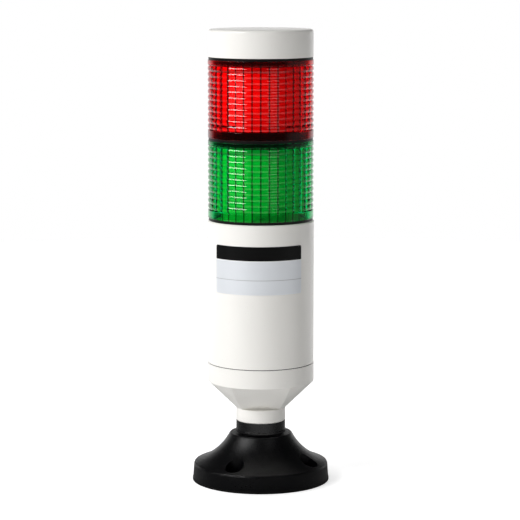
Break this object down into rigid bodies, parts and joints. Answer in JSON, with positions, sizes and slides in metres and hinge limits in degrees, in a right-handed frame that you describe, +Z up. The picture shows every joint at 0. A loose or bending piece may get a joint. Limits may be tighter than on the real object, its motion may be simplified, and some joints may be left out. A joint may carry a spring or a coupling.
{
  "type": "stack light",
  "caption": "Signal tower with a flanged black foot, a white body tube, ribbed green and red lens modules that twist to lock, and a white cap.",
  "frame": {"origin": "centre of the foot's underside, on the axis of the stack", "axes": "+Z up the stack, -Y towards the front, where the label is"},
  "size_m": [0.0734, 0.0734, 0.2416],
  "materials": {
    "black_plastic": "fine texture, black",
    "rubber": "plain black",
    "white_plastic": "gloss, warm white",
    "zinc_steel": "zinc plated",
    "label_film": "silver film with a black band",
    "board": "green solder mask",
    "white_board": "white solder mask",
    "light_emitter": "clear resin over a pale yellow filling",
    "terminal_plastic": "plain green",
    "component": "dark sleeve and dark resin",
    "contact_metal": "gold flash",
    "green_clear": "clear green, gloss",
    "red_clear": "clear red, gloss"
  },
  "bodies": {
    "foot_and_body": {"base_gasket": "rubber", "mounting_base": "black_plastic", "neck_ring": "black_plastic", "threaded_nipple": "zinc_steel", "lock_nuts": "zinc_steel", "lock_washers": "zinc_steel", "lower_collar": "white_plastic", "seam_seal": "rubber", "body_housing": "white_plastic", "front_label": "label_film", "control_board": "board", "terminal_block": "terminal_plastic", "terminal_screws": "zinc_steel", "board_components": "component", "feed_pins": "contact_metal", "body_contact_plate": "board", "lower_seal": "rubber"},
    "green_module": {"green_lens": "green_clear", "green_lock_ring": "black_plastic", "green_lock_spigot": "black_plastic", "green_board_clamps": "black_plastic", "green_contact_plate": "board", "green_light_board": "white_board", "green_lights": "light_emitter", "green_contact_plug": "black_plastic", "green_contact_pins": "contact_metal", "middle_seal": "rubber"},
    "red_module": {"red_lens": "red_clear", "red_lock_ring": "black_plastic", "red_lock_spigot": "black_plastic", "red_board_clamps": "black_plastic", "red_contact_plate": "board", "red_light_board": "white_board", "red_lights": "light_emitter", "red_contact_plug": "black_plastic", "red_contact_pins": "contact_metal", "upper_seal": "rubber"},
    "cap": {"top_cap": "white_plastic"}
  },
  "joints": [
    {"name": "green_module_turn", "type": "hinge", "parent": "foot_and_body", "child": "green_module", "pos_m": [0, 0, 0.14226], "axis": [0, 0, 1], "range_deg": [0, 20]},
    {"name": "red_module_turn", "type": "hinge", "parent": "green_module", "child": "red_module", "pos_m": [0, 0, 0.18466], "axis": [0, 0, 1], "range_deg": [0, 20]},
    {"name": "cap_turn", "type": "hinge", "parent": "red_module", "child": "cap", "pos_m": [0, 0, 0.22706], "axis": [0, 0, 1], "range_deg": [0, 20]}
  ]
}
